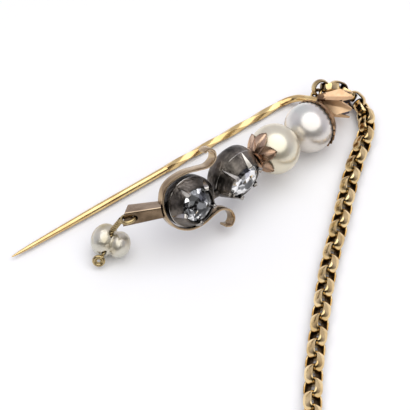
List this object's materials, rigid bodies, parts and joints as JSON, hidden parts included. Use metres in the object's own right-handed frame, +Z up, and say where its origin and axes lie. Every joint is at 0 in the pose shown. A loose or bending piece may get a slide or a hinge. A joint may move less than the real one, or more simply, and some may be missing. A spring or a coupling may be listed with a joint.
{
  "type": "chained double stick pin",
  "caption": "Stick pin with a slanting row of pearls and collet-set diamonds, a scroll and a drop pearl, its bent stem linked by a fine chain to a plain second pin.",
  "frame": {"origin": "on the table, under the middle of the box round the whole part as it lies", "axes": "+Z up from the table, +X along the first pin's straight stem from its tip towards its bend, +Y to the far side of that stem, away from the chain and the second pin"},
  "size_m": [0.083, 0.0608, 0.0107],
  "materials": {
    "yellow_gold": "polished gold, worn",
    "rose_gold": "polished rose gold with dark hollows",
    "tan_gold": "satin reddish gold",
    "wire_gold": "polished gold wire",
    "chain_gold": "polished pale gold with dark hollows",
    "dark_silver": "oxidised silver with bright edges",
    "white_nacre": "silvery white pearl nacre",
    "cream_nacre": "cream pearl nacre",
    "grey_nacre": "greyish baroque pearl nacre",
    "diamond": "cut and polished stone"
  },
  "bodies": {
    "root": {"pin_stem": "yellow_gold", "upper_pearl": "white_nacre", "lower_pearl": "cream_nacre", "leaf_calyx": "rose_gold", "collet_pair": "dark_silver", "upper_diamond": "diamond", "lower_diamond": "diamond", "scroll_arm": "tan_gold", "drop_wire": "wire_gold", "drop_pearl": "grey_nacre", "jump_ring": "yellow_gold", "chain": "chain_gold", "second_pin": "yellow_gold"}
  },
  "joints": []
}
